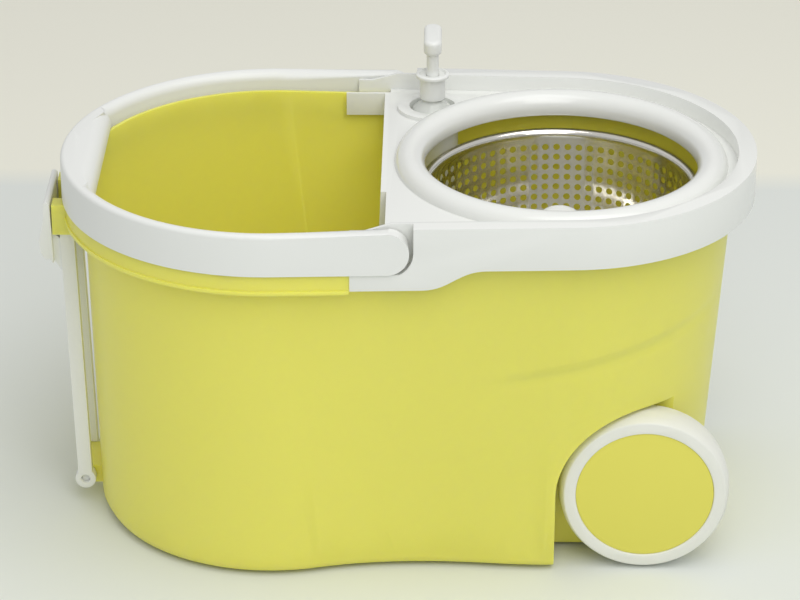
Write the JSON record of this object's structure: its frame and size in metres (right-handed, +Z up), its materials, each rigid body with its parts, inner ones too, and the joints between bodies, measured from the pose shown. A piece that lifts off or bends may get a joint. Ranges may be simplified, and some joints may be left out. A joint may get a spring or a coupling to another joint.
{
  "type": "spin mop bucket",
  "caption": "Wheeled spin-mop bucket: waisted tub with a rim bail and pull handle, a covered spin side with a perforated basket, and a soap pump.",
  "frame": {"origin": "on the floor, below the middle of the bounding box", "axes": "+X runs from the wash side to the spin side, +Y from front to rear, +Z up"},
  "size_m": [0.5155, 0.302, 0.327],
  "materials": {
    "tub_yellow": "smooth moulded polypropylene",
    "white_gloss": "glossy white polypropylene",
    "disc_yellow": "satin yellow plastic",
    "wheel_white": "satin white plastic",
    "basket_steel": "polished stainless sheet",
    "steel": "drawn steel",
    "bush": "acetal",
    "bottle_clear": "clear plastic",
    "foot_grey": "soft rubber"
  },
  "bodies": {
    "bucket": {"tub": "tub_yellow", "foot_pads": "foot_grey", "spin_cover": "white_gloss", "handle_pivot_pins": "bush", "stub_axle_front": "steel", "stub_axle_rear": "steel", "axle_clip_front": "steel", "axle_clip_rear": "steel", "spindle": "steel", "thrust_washer": "bush", "pull_pivot_rod": "white_gloss"},
    "carry_handle_body": {"carry_handle": "white_gloss"},
    "pull_handle_body": {"pull_handle": "white_gloss"},
    "basket": {"basket_shell": "basket_steel", "basket_hub": "white_gloss", "basket_base": "white_gloss", "basket_screws": "steel", "lower_bush": "bush", "upper_bush": "bush"},
    "wheel_front_body": {"wheel_front": "wheel_white", "wheel_disc_front": "disc_yellow"},
    "wheel_rear_body": {"wheel_rear": "wheel_white", "wheel_disc_rear": "disc_yellow"},
    "soap": {"soap_bottle": "bottle_clear", "pump_closure": "white_gloss", "pump_cylinder": "bush", "dip_tube": "bottle_clear", "pump_spring": "steel"},
    "plunger": {"pump_stem": "white_gloss"},
    "pump_top": {"pump_head": "white_gloss"}
  },
  "joints": [
    {"name": "carry_handle_swing", "type": "hinge", "parent": "bucket", "child": "carry_handle_body", "pos_m": [-0.0054, 0, 0.266], "axis": [0, 1, 0], "range_deg": [0, 92]},
    {"name": "pull_handle_swing", "type": "hinge", "parent": "bucket", "child": "pull_handle_body", "pos_m": [-0.2326, 0, 0.0222], "axis": [0, -1, 0], "range_deg": [0, 80]},
    {"name": "basket_spin", "type": "hinge", "parent": "bucket", "child": "basket", "pos_m": [0.1176, 0, 0.2], "axis": [0, 0, 1], "continuous": true},
    {"name": "wheel_front_roll", "type": "hinge", "parent": "bucket", "child": "wheel_front_body", "pos_m": [0.1787, -0.1011, 0.0615], "axis": [0, 1, 0], "continuous": true},
    {"name": "wheel_rear_roll", "type": "hinge", "parent": "bucket", "child": "wheel_rear_body", "pos_m": [0.1787, 0.1011, 0.0615], "axis": [0, 1, 0], "continuous": true},
    {"name": "soap_bottle_lift", "type": "slide", "parent": "bucket", "child": "soap", "axis": [0, 0, 1], "range_m": [0, 0.12]},
    {"name": "pump_press", "type": "slide", "parent": "soap", "child": "plunger", "axis": [0, 0, -1], "range_m": [0, 0.012], "stiffness_N_per_m": 150, "deforming": ["pump_spring"]},
    {"name": "pump_swivel", "type": "hinge", "parent": "plunger", "child": "pump_top", "pos_m": [0.0246, 0.095, 0.32], "axis": [0, 0, 1], "continuous": true}
  ]
}
